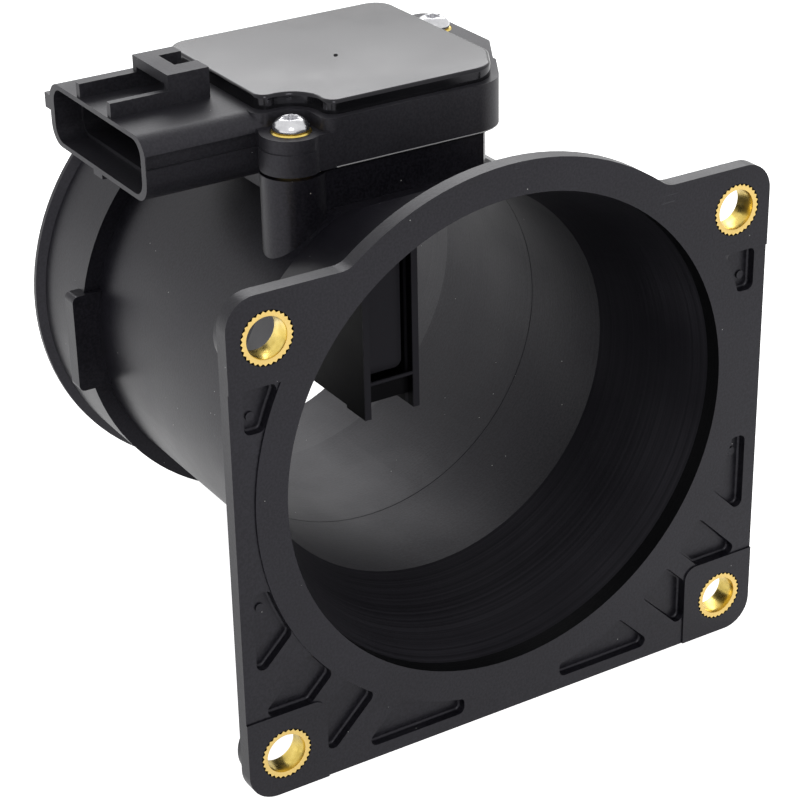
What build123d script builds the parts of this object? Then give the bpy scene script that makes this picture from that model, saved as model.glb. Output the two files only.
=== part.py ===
from build123d import *

import os
from math import cos, hypot, pi, sin

os.makedirs("parts", exist_ok=True)

# Mass airflow sensor, in millimetres.
# The origin is on the bore axis at the flange's front face. Air enters there and runs along +Y.
# +Z points up to the sensor head, and the plug socket faces -X.

# ------------------------------------------------------------------ driving sizes: air passage
mouth_radius = 45.0
mouth_land = 3.3
throat_radius = 38.0
throat_start = 27.0
throat_end = 49.4
diffuser_radius = 38.8
diffuser_end = 81.3
outlet_radius = 41.0
tube_length = 99.7
tube_wall = 3.0

# the tube's crown is flattened under the sensor head, inside and out
crown_inner = 34.7
crown_wall = 2.4
crown_ramp = 0.49

# hose collar and the stop lug on its front edge
collar_start = 80.9
collar_radius = 44.1
lip_radius = 45.7
lip_width = 1.0
lug_reach = 46.2
lug_front = 79.7
lug_depth = 3.5
lug_top = 8.7
lug_bottom = -11.0
lug_corner = 1.2

# ------------------------------------------------------------------ driving sizes: flange
flange_width = 109.6
flange_top = 39.75
flange_bottom = -55.6
flange_edge = 3.0
flange_thickness = 5.0
flange_step = 5.0
flange_corner = 5.5
ring_land = 6.0
arch_fillet = 4.5

# the flange seats on its ring, its head and a raised pad at each bolt
bolt_inset_side = 7.4
bolt_inset_top = 7.95
bolt_inset_foot = 8.0
pad_reach = 8.3
pad_corner = 2.6
pad_rise = 0.3

pocket_depth = 2.0
pocket_rim = 2.6
pocket_corner = 1.3
pocket_foot_round = 0.5
pocket_least_area = 15.0
pocket_side_top = 23.6
pocket_side_low = 15.4
pocket_lower_top = -14.3
pocket_foot_inner = 10.5
corner_rib = 3.75
side_rib = 5.6
side_rib_shift = 17.0
ejector_mark_radius = 0.8
ejector_mark_rise = 0.3
ejector_mark_inset = 4.5
ejector_mark_z = 18.0

# pressed brass bushes that take the flange bolts
bush_bore = 7.3
bush_outer = 9.6
bush_length = 4.5
bush_boss_radius = 7.0
bush_teeth = 30
bush_tooth_depth = 0.38
bush_chamfer = 0.25
bush_gap = 0.05

# ------------------------------------------------------------------ driving sizes: sensor head
seat_height = 44.1
seal_thickness = 0.6
seal_setback = 1.5
seal_screw_gap = 1.0
front_screw = (-23.0, 33.8)
rear_screw = (26.95, 67.2)
boss_radius = 5.75
rear_boss_radius = 4.9
boss_foot = 20.0
screw_hole_depth = 10.0

pedestal_front = 29.9
pedestal_back = 72.0
pedestal_left = -21.0
pedestal_nose = 13.7
pedestal_shoulder = (17.5, 35.0)
pedestal_right = 27.8
pedestal_right_start = 53.5
pedestal_corner = 2.0

head_front = 29.0
head_back = 76.5
head_left = -27.5
head_nose = 16.7
head_right = 31.7
head_right_start = 54.9
head_upper_right = 22.7
head_height = 8.9
head_nose_corner = 7.4
head_corner = 2.6
cover_corner = 4.0
head_bend = 1.2
head_wall = 2.2
head_floor = 2.0
ear_height = 6.5
ear_round = 4.5
ear_band_height = 4.0
ear_band_side = 1.7
ear_band_depth = 0.2
ear_pocket_radius = 4.1
ear_blend = 2.4

cover_inset = 1.5
cover_thickness = 2.5
cover_right = 20.4
cover_bend = 4.0
cover_edge_round = 0.6
cover_spigot_depth = 1.0
cover_spigot_wall = 1.2
cover_hollow = 1.2
fit_gap = 0.15

# ------------------------------------------------------------------ driving sizes: plug socket
socket_mouth = -48.8
socket_front = 37.7
socket_back = 75.8
socket_drop = 2.2
socket_height = 11.7
socket_corner = 3.8
socket_side_wall = 1.7
socket_skin = 0.9
socket_lead_depth = 5.2
socket_step = 0.7
socket_floor = -33.4
groove_rise = 6.2
groove_height = 2.5
groove_depth = 0.8
groove_lip = 0.3
key_reach = 2.2
key_rise = 5.9
nub_front = 56.0
nub_back = 59.5
nub_start = 0.2
nub_length = 1.8
nub_drop = 1.1

rail_front = 50.7
rail_back = 64.4
rail_width = 1.4
rail_height = 2.65
rail_start = -48.5
latch_start = -37.4
latch_end = -29.4
latch_height = 5.5
latch_roof = 1.9
latch_slot_start = -33.8
latch_slot_front = 55.1
latch_slot_back = 61.2
shell_overlap = 0.5

terminal_count = 6
terminal_pitch = 4.5
terminal_width = 1.5
terminal_thickness = 0.64
terminal_middle_y = 56.75
terminal_row_rise = 5.8
terminal_tip = -41.5
terminal_bend = -21.5
terminal_rise = 1.0
insert_gap = 0.03
slot_run_on = 2.0

# ------------------------------------------------------------------ driving sizes: probe
neck_width = 18.0
neck_front = 38.0
neck_back = 69.0
neck_corner = 3.0
neck_gap = 0.4

probe_width = 12.0
probe_wall = 1.35
probe_front = 40.5
probe_back = 62.0
probe_bottom = -11.5
probe_leg_depth = 6.8
probe_leg_bottom = -12.1
panel_front = 43.2
panel_thickness = 1.5
panel_bottom = -4.2
panel_gap = 0.9
panel_corner = 1.6
bar_top = -4.3
bar_shelf = 1.1
bar_recess = 1.9
bar_bottom = -9.7
bar_fall = 3.6
bar_edge_round = 0.4
bar_root_round = 1.3
divider_y = 51.0
divider_top = 22.0
divider_thickness = 1.4
outlet_window_top = 3.0
cable_slot_width = 8.0
cable_slot_front = 52.6
cable_slot_back = 61.0

# ------------------------------------------------------------------ driving sizes: electronics
board_thickness = 1.6
board_standoff = 2.3
board_gap = 0.5
board_post = 2.4
post_radius = 0.45
post_spread = 5.0
post_front_y = 54.6
post_rear_y = 59.0
hot_post_low = 12.0
cold_post_low = 20.0
post_rise = 0.8
element_radius = 0.35
element_lead_radius = 0.12
element_length = 2.4
element_gap = 0.05
bead_radius = 1.3
bead_height = 24.0
bead_lead_radius = 0.3
bead_lead_spread = 1.5
bead_y = 65.6

chip_size = (10.2, 7.4, 1.5)
chip_middle = (6.0, 41.5)
chip_legs = 8
chip_leg_pitch = 1.27
chip_leg_width = 0.4
chip_leg_reach = 1.3
regulator_size = (6.4, 6.0, 1.6)
regulator_middle = (-9.0, 43.0)
regulator_tab = 1.6
regulator_tab_width = 5.4
capacitor_size = (1.6, 3.2, 1.4)
capacitor_x = -14.0
capacitor_first_y = 52.0
capacitor_pitch = 6.0
capacitor_count = 3
capacitor_edge = 0.2
carrier_flange = 1.0
hole_gap = 0.1

# ------------------------------------------------------------------ driving sizes: screws
screw_thread = 4.0
screw_length = 16.0
screw_head = 6.4
screw_head_height = 2.2
screw_head_rim = 0.9
screw_drive_radius = 1.65
screw_drive_lobe = 0.42
screw_drive_depth = 1.0
screw_dome_out = 0.72
screw_dome_up = 0.86
ear_bush_outer = 7.2
ear_bush_bore = 4.4
ear_bush_proud = 0.2

# ------------------------------------------------------------------ values worked out from them
ring_radius = mouth_radius + ring_land
tube_radius = throat_radius + tube_wall
flare_radius = mouth_radius + tube_wall
crown_outer = crown_inner + crown_wall
seal_top = seat_height + seal_thickness
head_top = seal_top + head_height
ear_top = seal_top + ear_height
socket_low = seat_height - socket_drop
socket_top = socket_low + socket_height
groove_low = socket_low + groove_rise
groove_top = groove_low + groove_height
key_low = socket_low + key_rise
terminal_height = socket_low + terminal_row_rise
half_flange = flange_width / 2
ejector_mark_x = half_flange - ejector_mark_inset
flange_height = flange_top - flange_bottom
flange_middle = (flange_top + flange_bottom) / 2
beyond = 8.0
cut_past = 1.0
neck_length = neck_back - neck_front
neck_middle = (neck_front + neck_back) / 2
probe_half = probe_width / 2
probe_inner = probe_half - probe_wall
cavity_floor = seal_top + head_floor
board_height = cavity_floor + board_standoff
board_top = board_height + board_thickness
ear_bush_top = ear_top + ear_bush_proud
board_front = head_front + cover_inset + head_wall + board_gap
board_back = head_back - cover_inset - head_wall - board_gap
board_left = head_left + cover_inset + head_wall + board_gap
board_right = head_nose - cover_inset - head_wall - board_gap
board_posts = [
    (board_left + 4 * board_post, board_back - board_post),
    (board_right - board_post, board_back - board_post),
    (board_right - board_post, board_front + board_post),
    (board_left + board_post + 2 * boss_radius, board_front + board_post),
]
post_points = [(x * post_spread / 2, y) for y in (post_front_y, post_rear_y) for x in (-1, 1)]
lead_points = [(x * bead_lead_spread / 2, bead_y) for x in (-1, 1)]
bolt_points = [
    (side * (half_flange - bolt_inset_side), z)
    for z in (flange_top - bolt_inset_top, flange_bottom + bolt_inset_foot)
    for side in (-1, 1)
]


def bar_2d(x_low, x_high, y_low, y_high, mode=Mode.ADD):
    """Draws an upright rectangle between its edges, in the open sketch."""
    with Locations(((x_low + x_high) / 2, (y_low + y_high) / 2)):
        Rectangle(x_high - x_low, y_high - y_low, mode=mode)


def rounded_bar_2d(x_low, x_high, y_low, y_high, radius, mode=Mode.ADD):
    """Draws the same rectangle with round corners."""
    with Locations(((x_low + x_high) / 2, (y_low + y_high) / 2)):
        RectangleRounded(x_high - x_low, y_high - y_low, radius, mode=mode)


def finish(piece, name):
    """Labels a finished piece and writes it as its own STEP file."""
    piece.part.label = name
    export_step(piece.part, f"parts/{name}.step")


# ------------------------------------------------------------------ tube housing
# The space that the air takes: a bell mouth, a straight throat and a slow diffuser,
# flattened at the crown where the sensor head stands.
with BuildPart() as air_passage:
    with BuildSketch(Plane.XY):
        with BuildLine():
            Polyline(
                (0, -beyond),
                (mouth_radius, -beyond),
                (mouth_radius, mouth_land),
                (throat_radius, throat_start),
                (throat_radius, throat_end),
                (diffuser_radius, diffuser_end),
                (outlet_radius, tube_length),
                (outlet_radius, tube_length + beyond),
                (0, tube_length + beyond),
                close=True,
            )
        make_face()
    revolve(axis=Axis.Y)
    with BuildSketch(Plane.YZ):
        with BuildLine():
            Polyline(
                (-beyond, crown_inner + crown_ramp * (throat_start + beyond)),
                (throat_start, crown_inner),
                (collar_start, crown_inner),
                (tube_length + beyond, crown_inner + crown_ramp * (tube_length + beyond - collar_start)),
                (tube_length + beyond, 2 * mouth_radius),
                (-beyond, 2 * mouth_radius),
                close=True,
            )
        make_face()
    extrude(amount=mouth_radius, both=True, mode=Mode.SUBTRACT)


def pedestal_plan():
    """Plan of the raised seat under the sensor head, without its screw bosses."""
    with BuildSketch() as plan:
        with BuildLine():
            Polyline(
                (pedestal_left, pedestal_front),
                (pedestal_nose, pedestal_front),
                pedestal_shoulder,
                (pedestal_right, pedestal_right_start),
                (pedestal_right, pedestal_back),
                (pedestal_left, pedestal_back),
                close=True,
            )
        make_face()
        fillet(plan.vertices().sort_by(Axis.Y)[-2:], pedestal_corner)
    return plan.sketch


def neck_plan(gap):
    """Plan of the head's neck, or of the opening that it drops into, with a gap all round."""
    with BuildSketch() as plan:
        with Locations((0, neck_middle)):
            RectangleRounded(neck_width + 2 * gap, neck_length + 2 * gap, neck_corner + gap)
    return plan.sketch


def seat_face():
    """The parts of the flange's face that touch the air box: its ring, its head and the bolt pads."""
    with BuildSketch() as seat:
        Circle(ring_radius)
        bar_2d(-half_flange - cut_past, half_flange + cut_past, bolt_points[0][1], flange_top + cut_past)
        for x, z in bolt_points:
            with Locations((x, z)):
                RectangleRounded(2 * pad_reach, 2 * pad_reach, pad_corner)
            # each pad runs on to the flange's side, and to its top or foot
            outer = half_flange + cut_past if x > 0 else -half_flange - cut_past
            edge = flange_top + cut_past if z > 0 else flange_bottom - cut_past
            bar_2d(min(x, outer), max(x, outer), z - pad_reach, z + pad_reach)
            bar_2d(x - pad_reach, x + pad_reach, min(z, edge), max(z, edge))
    return seat.sketch


def pocket_field():
    """Outline of the shallow core-outs round the flange, between its ribs and its sealing ring."""
    side = half_flange - pocket_rim
    foot = flange_bottom + pocket_rim
    with BuildSketch() as field:
        bar_2d(-side, side, foot, pocket_side_top)
        Circle(ring_radius, mode=Mode.SUBTRACT)
        # no pocket where the ring comes close to the flange's sides and foot
        bar_2d(-half_flange, half_flange, pocket_lower_top, pocket_side_low, mode=Mode.SUBTRACT)
        bar_2d(-pocket_foot_inner, pocket_foot_inner, flange_bottom, 0, mode=Mode.SUBTRACT)
        with Locations(*bolt_points[2:]):
            Rectangle(2 * pad_reach, 2 * pad_reach, mode=Mode.SUBTRACT)
        # ribs at 45 degrees run from the ring to both lower corners
        for turn in (-45, 45):
            for shift, width in ((0, corner_rib), (side_rib_shift, side_rib), (-side_rib_shift, side_rib)):
                with Locations(Location((0, shift), turn)):
                    Rectangle(3 * flange_width, width, mode=Mode.SUBTRACT)
    # slivers stay solid, and the rest get round corners by shrinking and growing them
    with BuildSketch() as pockets:
        add([face for face in field.sketch.faces() if face.area > pocket_least_area])
        offset(amount=-pocket_corner, kind=Kind.INTERSECTION)
        offset(amount=pocket_corner)
    return pockets.sketch


# the cores of those pockets, which leave a rounded foot round each floor
with BuildPart() as pocket_cores:
    with BuildSketch(Plane.XZ):
        add(pocket_field())
    extrude(amount=-pocket_depth)
    floor_edges = pocket_cores.edges().filter_by_position(Axis.Y, pocket_depth, pocket_depth)
    fillet(floor_edges, pocket_foot_round)


with BuildPart() as tube_housing:
    # flange plate with the arch that follows the mouth
    with BuildSketch(Plane.XZ) as flange_face:
        with Locations((0, flange_middle)):
            RectangleRounded(flange_width, flange_height, flange_corner)
        Circle(ring_radius)
        inner_corners = flange_face.vertices().filter_by(
            lambda v: abs(v.Y - flange_top) < 0.01 and abs(v.X) < ring_radius * 0.8
        )
        fillet(inner_corners, arch_fillet)
    extrude(amount=-flange_edge)
    # thicker field behind it, stepped in from the edge, with round bosses behind the bushes
    with BuildSketch(Plane.XZ.offset(-flange_edge)):
        with Locations((0, flange_middle)):
            RectangleRounded(flange_width - 2 * flange_step, flange_height - 2 * flange_step, flange_corner)
        with Locations(*bolt_points):
            Circle(bush_boss_radius)
    extrude(amount=flange_edge - flange_thickness)
    # tube: flare behind the mouth, plain barrel, hose collar and its end lip
    with BuildSketch(Plane.XY):
        with BuildLine():
            Polyline(
                (0, 0),
                (flare_radius, 0),
                (flare_radius, flange_thickness),
                (tube_radius, throat_start),
                (tube_radius, collar_start),
                (collar_radius, collar_start),
                (collar_radius, tube_length - 2 * lip_width),
                (lip_radius, tube_length - lip_width),
                (lip_radius, tube_length),
                (0, tube_length),
                close=True,
            )
        make_face()
    revolve(axis=Axis.Y)
    # flat crown, from the flange's arch to the collar
    with BuildSketch(Plane.YZ):
        with BuildLine():
            Polyline(
                (flange_thickness, crown_outer + crown_ramp * (throat_start - flange_thickness)),
                (throat_start, crown_outer),
                (collar_start, crown_outer),
                (collar_start, 2 * mouth_radius),
                (flange_thickness, 2 * mouth_radius),
                close=True,
            )
        make_face()
    extrude(amount=mouth_radius, both=True, mode=Mode.SUBTRACT)
    # raised seat for the head, and its two screw bosses
    with BuildSketch(Plane.XY.offset(boss_foot)):
        add(pedestal_plan())
        with Locations(front_screw):
            Circle(boss_radius)
        with Locations(rear_screw):
            Circle(rear_boss_radius)
    extrude(amount=seat_height - boss_foot)
    # stop lug on the collar's front edge
    with BuildSketch(Plane.XZ.offset(-lug_front)):
        rounded_bar_2d(-lug_reach, -throat_radius, lug_bottom, lug_top, lug_corner)
    extrude(amount=-lug_depth)
    # the air passage, the neck's opening and the screw holes
    add(air_passage.part, mode=Mode.SUBTRACT)
    with BuildSketch(Plane.XY.offset(boss_foot)):
        add(neck_plan(neck_gap))
    extrude(amount=seat_height - boss_foot + cut_past, mode=Mode.SUBTRACT)
    with BuildSketch(Plane.XY.offset(seat_height)):
        with Locations(front_screw, rear_screw):
            Circle(screw_thread / 2 + bush_gap)
    extrude(amount=-screw_hole_depth, mode=Mode.SUBTRACT)
    # holes for the bushes, the seat left raised on the face, and the core-outs
    with BuildSketch(Plane.XZ):
        with Locations(*bolt_points):
            Circle(bush_outer / 2 + bush_gap)
    extrude(amount=-flange_thickness, mode=Mode.SUBTRACT)
    with BuildSketch(Plane.XZ):
        Rectangle(3 * half_flange, 3 * half_flange)
        add(seat_face(), mode=Mode.SUBTRACT)
    extrude(amount=-pad_rise, mode=Mode.SUBTRACT)
    add(pocket_cores.part, mode=Mode.SUBTRACT)
    # ejector pin marks on the floors of the side pockets
    with BuildSketch(Plane.XZ.offset(-pocket_depth)):
        with GridLocations(2 * ejector_mark_x, 2 * ejector_mark_z, 2, 2):
            Circle(ejector_mark_radius)
    extrude(amount=ejector_mark_rise)
finish(tube_housing, "tube_housing")


# ------------------------------------------------------------------ flange bushes
def bush_plan():
    """Knurled outline of a bush: a ring of straight teeth."""
    tip = bush_outer / 2
    root = tip - bush_tooth_depth
    step = 2 * pi / bush_teeth
    with BuildSketch() as plan:
        with BuildLine():
            Polyline(
                *[
                    (radius * cos(turn), radius * sin(turn))
                    for tooth in range(bush_teeth)
                    for radius, turn in ((tip, tooth * step), (root, (tooth + 0.5) * step))
                ],
                close=True,
            )
        make_face()
        Circle(bush_bore / 2, mode=Mode.SUBTRACT)
    return plan.sketch


for index, (bolt_x, bolt_z) in enumerate(bolt_points):
    with BuildPart() as flange_bush:
        with BuildSketch(Plane.XZ):
            with Locations((bolt_x, bolt_z)):
                add(bush_plan())
        extrude(amount=-bush_length)
        bore_edges = flange_bush.edges().filter_by(GeomType.CIRCLE)
        chamfer(bore_edges, bush_chamfer)
    finish(flange_bush, f"flange_bush_{index + 1}")


# ------------------------------------------------------------------ sensor housing
def box_plan(inset, right, bend, corner):
    """Plan of the head box, drawn in all round by an inset, with its right side where asked.
    The front right is drawn in to a nose, from which the side slants out to the right."""
    run = (head_right - head_nose) / (head_right_start - head_front)
    slant = inset * hypot(1, run)
    left = head_left + inset
    front = head_front + inset
    back = head_back - inset
    nose = head_nose + run * inset - slant
    right_start = head_front + (right - head_nose + slant) / run
    with BuildSketch() as plan:
        with BuildLine():
            Polyline(
                (left, front),
                (nose, front),
                (right, right_start),
                (right, back),
                (left, back),
                close=True,
            )
        make_face()
        nose_corner = plan.vertices().group_by(Axis.Y)[0].sort_by(Axis.X)[-1]
        fillet(nose_corner, head_nose_corner - inset)
        bend_corner = plan.vertices().group_by(Axis.X)[-1].sort_by(Axis.Y)[0]
        fillet(bend_corner, bend)
        back_corners = plan.vertices().group_by(Axis.Y)[-1]
        fillet(back_corners, corner)
    return plan.sketch


def screw_clearing(radius):
    """The ground to leave open round both head screws, out to the corners beyond them."""
    reach = 3 * boss_radius
    with BuildSketch() as plan:
        for (x, y), side in ((front_screw, -1), (rear_screw, 1)):
            with Locations((x, y)):
                Circle(radius)
            far_x = x + side * reach
            far_y = y + side * reach
            near_x = x - side * radius
            near_y = y - side * radius
            bar_2d(min(far_x, near_x), max(far_x, near_x), min(y, far_y), max(y, far_y))
            bar_2d(min(x, far_x), max(x, far_x), min(far_y, near_y), max(far_y, near_y))
    return plan.sketch


def scallop_ends(plan, radius):
    """The two corners where the front screw's scallop runs out into the walls."""
    screw_x, screw_y = front_screw
    corners = plan.vertices()
    front = corners.sort_by(Axis.Y)[0].Y
    left = corners.sort_by(Axis.X)[0].X
    right_end = corners.sort_by_distance((screw_x + radius, front, 0))[0]
    left_end = corners.sort_by_distance((left, screw_y + radius, 0))[0]
    return [right_end, left_end]


def ear_plan():
    """Plan of the head up to its ears' height, with a round ear at the front screw."""
    with BuildSketch() as plan:
        add(box_plan(0, head_right, head_corner, head_corner))
        front_left = plan.vertices().group_by(Axis.Y)[0].sort_by(Axis.X)[0]
        fillet(front_left, ear_round)
        with Locations(front_screw):
            Circle(boss_radius - ear_band_depth)
    return plan.sketch


def head_upper_plan():
    """Plan of the head above its ears, scalloped round both screws."""
    with BuildSketch() as plan:
        add(box_plan(0, head_upper_right, head_bend, head_corner))
        add(screw_clearing(ear_pocket_radius), mode=Mode.SUBTRACT)
        fillet(scallop_ends(plan, ear_pocket_radius), ear_blend)
    return plan.sketch


def cover_plan(inset=0):
    """Plan of the cover, drawn in by a further inset for its spigot and its hollow."""
    scallop = ear_pocket_radius + cover_inset
    with BuildSketch() as plan:
        add(box_plan(cover_inset, cover_right, cover_bend, cover_corner))
        add(screw_clearing(scallop), mode=Mode.SUBTRACT)
        fillet(scallop_ends(plan, scallop), ear_blend)
        if inset:
            offset(amount=-inset)
    return plan.sketch


def cavity_plan():
    """Plan of the well for the circuit board, inside the head's walls and round the front ear."""
    return cover_plan(head_wall)


def terminal_rows():
    """Distance along the socket of each terminal."""
    first = terminal_middle_y - terminal_pitch * (terminal_count - 1) / 2
    return [first + terminal_pitch * index for index in range(terminal_count)]


with BuildPart() as sensor_housing:
    # head box: up to the ears' height all over, and above that clear of both screws
    with BuildSketch(Plane.XY.offset(seal_top)):
        add(ear_plan())
    extrude(amount=ear_height)
    # a thin band stands proud round the foot of the front ear
    with BuildSketch(Plane.XY.offset(seal_top)):
        with Locations(front_screw):
            Circle(boss_radius)
        band_side = front_screw[0] + ear_band_side
        bar_2d(band_side, band_side + boss_radius, head_front - boss_radius, head_front, mode=Mode.SUBTRACT)
    extrude(amount=ear_band_height)
    with BuildSketch(Plane.XY.offset(ear_top)):
        add(head_upper_plan())
    extrude(amount=head_top - ear_top)
    # plug socket's shell
    with BuildSketch(Plane.YZ.offset(socket_mouth)):
        rounded_bar_2d(socket_front, socket_back, socket_low, socket_top, socket_corner)
    extrude(amount=head_left - socket_mouth + head_wall)
    # its underside clears the screw boss beside it
    with BuildSketch(Plane.XY.offset(seal_top)):
        with Locations(front_screw):
            Circle(boss_radius + fit_gap)
    extrude(amount=socket_low - seal_top, mode=Mode.SUBTRACT)
    # guide groove along its front wall, short of the mouth, and the key on its back wall
    with BuildSketch(Plane.YZ.offset(socket_mouth + groove_lip)):
        bar_2d(socket_front - cut_past, socket_front + groove_depth, groove_low, groove_top)
    extrude(amount=head_left - socket_mouth - groove_lip, mode=Mode.SUBTRACT)
    with BuildSketch(Plane.YZ.offset(socket_mouth)):
        bar_2d(socket_back - cut_past, socket_back + key_reach, key_low, groove_top)
    extrude(amount=head_left - socket_mouth)
    # small nub under the mouth
    with BuildSketch(Plane.XZ.offset(-nub_front)):
        bar_2d(
            socket_mouth + nub_start,
            socket_mouth + nub_length,
            socket_low - nub_drop,
            socket_low + shell_overlap,
        )
    extrude(amount=nub_front - nub_back)
    # latch: two rails, and the bridge that the plug's tongue snaps under
    rail_top = socket_top + rail_height
    with BuildSketch(Plane.YZ.offset(rail_start)):
        bar_2d(rail_front, rail_front + rail_width, socket_top - shell_overlap, rail_top)
        bar_2d(rail_back - rail_width, rail_back, socket_top - shell_overlap, rail_top)
    extrude(amount=latch_end - rail_start)
    with BuildSketch(Plane.YZ.offset(latch_start)):
        bar_2d(rail_front, rail_back, socket_top - shell_overlap, socket_top + latch_height)
        bar_2d(
            rail_front + rail_width,
            rail_back - rail_width,
            socket_top - shell_overlap,
            socket_top + latch_height - latch_roof,
            mode=Mode.SUBTRACT,
        )
    extrude(amount=latch_end - latch_start)
    with BuildSketch(Plane.XY.offset(socket_top + shell_overlap)):
        bar_2d(latch_slot_start, latch_end + shell_overlap, latch_slot_front, latch_slot_back)
    extrude(amount=latch_height, mode=Mode.SUBTRACT)
    # socket's cavity: a wide lead-in, then the narrower part round the terminals
    with BuildSketch(Plane.YZ.offset(socket_mouth)):
        rounded_bar_2d(
            socket_front + socket_side_wall,
            socket_back - socket_side_wall,
            socket_low + socket_skin,
            socket_top - socket_skin,
            socket_corner - socket_skin,
        )
    extrude(amount=socket_lead_depth, mode=Mode.SUBTRACT)
    with BuildSketch(Plane.YZ.offset(socket_mouth)):
        rounded_bar_2d(
            socket_front + socket_side_wall + socket_step,
            socket_back - socket_side_wall - socket_step,
            socket_low + socket_skin + socket_step,
            socket_top - socket_skin - socket_step,
            socket_corner - socket_skin - socket_step,
        )
    extrude(amount=socket_floor - socket_mouth, mode=Mode.SUBTRACT)
    # neck through the tube's crown
    with BuildSketch(Plane.XY.offset(crown_inner)):
        add(neck_plan(0))
    extrude(amount=seal_top - crown_inner)
    # probe, first half: its side wall with the front leg
    with BuildSketch(Plane.YZ.offset(-probe_half)):
        bar_2d(probe_front, probe_back, probe_bottom, crown_inner)
        bar_2d(probe_front, probe_front + probe_leg_depth, probe_leg_bottom, crown_inner)
    extrude(amount=probe_wall)
    # the walls of the bypass channel behind it: front panel, divider, rear wall and floor
    with BuildSketch(Plane.YZ.offset(-probe_inner)):
        bar_2d(divider_y, divider_y + divider_thickness, probe_bottom, divider_top)
        bar_2d(probe_back - probe_wall, probe_back, outlet_window_top, crown_inner)
        bar_2d(probe_front + probe_leg_depth, probe_back, probe_bottom, probe_bottom + probe_wall)
    extrude(amount=2 * probe_inner)
    with BuildSketch(Plane.XZ.offset(-panel_front)):
        with BuildLine():
            panel_right = probe_inner - panel_gap
            Polyline(
                (-probe_inner, panel_bottom),
                (panel_right, panel_bottom),
                (panel_right, crown_inner),
                (-probe_inner, crown_inner),
                close=True,
            )
        panel = make_face()
        lower_right = panel.vertices().group_by(Axis.Y)[0].sort_by(Axis.X)[-1]
        fillet(lower_right, panel_corner)
    extrude(amount=-panel_thickness)
    # well for the circuit board, and the slot down through the neck
    with BuildSketch(Plane.XY.offset(cavity_floor)):
        add(cavity_plan())
    extrude(amount=head_top - cavity_floor, mode=Mode.SUBTRACT)
    with BuildSketch(Plane.XY.offset(crown_inner)):
        bar_2d(-cable_slot_width / 2, cable_slot_width / 2, cable_slot_front, cable_slot_back)
    extrude(amount=cavity_floor - crown_inner, mode=Mode.SUBTRACT)
    # holes for the ear bushes
    with BuildSketch(Plane.XY.offset(seal_top)):
        with Locations(front_screw, rear_screw):
            Circle(ear_bush_outer / 2 + bush_gap)
    extrude(amount=ear_height, mode=Mode.SUBTRACT)
    # holes for the air temperature sensor's leads
    with BuildSketch(Plane.XY.offset(crown_inner)):
        with Locations(*lead_points):
            Circle(bead_lead_radius + insert_gap)
    extrude(amount=cavity_floor - crown_inner, mode=Mode.SUBTRACT)
    # slots that the terminals are moulded into
    with BuildSketch(Plane.YZ.offset(socket_floor - cut_past)):
        for row in terminal_rows():
            with Locations((row, terminal_height)):
                Rectangle(terminal_width + 2 * insert_gap, terminal_thickness + 2 * insert_gap)
    extrude(amount=head_left + cover_inset + head_wall - socket_floor + slot_run_on, mode=Mode.SUBTRACT)
    # posts that carry the circuit board
    with BuildSketch(Plane.XY.offset(cavity_floor)):
        for x, y in board_posts:
            with Locations((x, y)):
                Circle(board_post / 2)
    extrude(amount=board_height - cavity_floor)
finish(sensor_housing, "sensor_housing")


# ------------------------------------------------------------------ probe side cover
# The other half of the probe: the far side wall and its leg, with the crossbar and the web
# that close the bypass channel under its inlet.
leg_back = probe_front + probe_leg_depth
web_front = probe_front + bar_recess
with BuildPart() as probe_side_cover:
    with BuildSketch(Plane.YZ.offset(probe_inner)):
        bar_2d(probe_front, probe_back, probe_bottom, crown_inner)
        bar_2d(probe_front, leg_back, probe_leg_bottom, crown_inner)
    extrude(amount=probe_wall)
    with BuildSketch(Plane.YZ.offset(-probe_inner)):
        with BuildLine():
            Polyline(
                (probe_front, bar_top),
                (leg_back, bar_top - bar_fall),
                (leg_back, probe_bottom),
                (leg_back - probe_wall, probe_bottom),
                (leg_back - probe_wall, bar_bottom),
                (web_front, bar_bottom),
                (web_front, bar_top - bar_shelf),
                (probe_front, bar_top - bar_shelf),
                close=True,
            )
        bar = make_face()
        front_corners = bar.vertices().group_by(Axis.X)[0]
        fillet(front_corners, bar_edge_round)
        root = bar.vertices().sort_by_distance((web_front, bar_top - bar_shelf, 0))[0]
        fillet(root, bar_root_round)
    extrude(amount=2 * probe_inner)
finish(probe_side_cover, "probe_side_cover")

# ------------------------------------------------------------------ cover lid
with BuildPart() as cover_lid:
    with BuildSketch(Plane.XY.offset(head_top)):
        add(cover_plan())
    extrude(amount=cover_thickness)
    top_edges = cover_lid.faces().sort_by(Axis.Z)[-1].edges()
    fillet(top_edges, cover_edge_round)
    # locating spigot that drops into the well, and the hollow inside it
    with BuildSketch(Plane.XY.offset(head_top - cover_spigot_depth)):
        add(cover_plan(head_wall + fit_gap))
    extrude(amount=cover_spigot_depth)
    with BuildSketch(Plane.XY.offset(head_top - cover_spigot_depth)):
        add(cover_plan(head_wall + fit_gap + cover_spigot_wall))
    extrude(amount=cover_spigot_depth + cover_hollow, mode=Mode.SUBTRACT)
finish(cover_lid, "cover_lid")

# ------------------------------------------------------------------ head seal
with BuildPart() as head_seal:
    with BuildSketch(Plane.XY.offset(seat_height)):
        add(pedestal_plan())
        offset(amount=-seal_setback)
        add(neck_plan(neck_gap + fit_gap), mode=Mode.SUBTRACT)
        with Locations(front_screw, rear_screw):
            Circle(ear_bush_outer / 2 + seal_screw_gap, mode=Mode.SUBTRACT)
    extrude(amount=seal_thickness)
finish(head_seal, "head_seal")

# ------------------------------------------------------------------ head screws and ear bushes
def drive_plan():
    """Six-lobed drive recess in a screw's head."""
    with BuildSketch() as plan:
        Circle(screw_drive_radius - screw_drive_lobe)
        with PolarLocations(screw_drive_radius - screw_drive_lobe, 6):
            Circle(screw_drive_lobe)
    return plan.sketch


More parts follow.
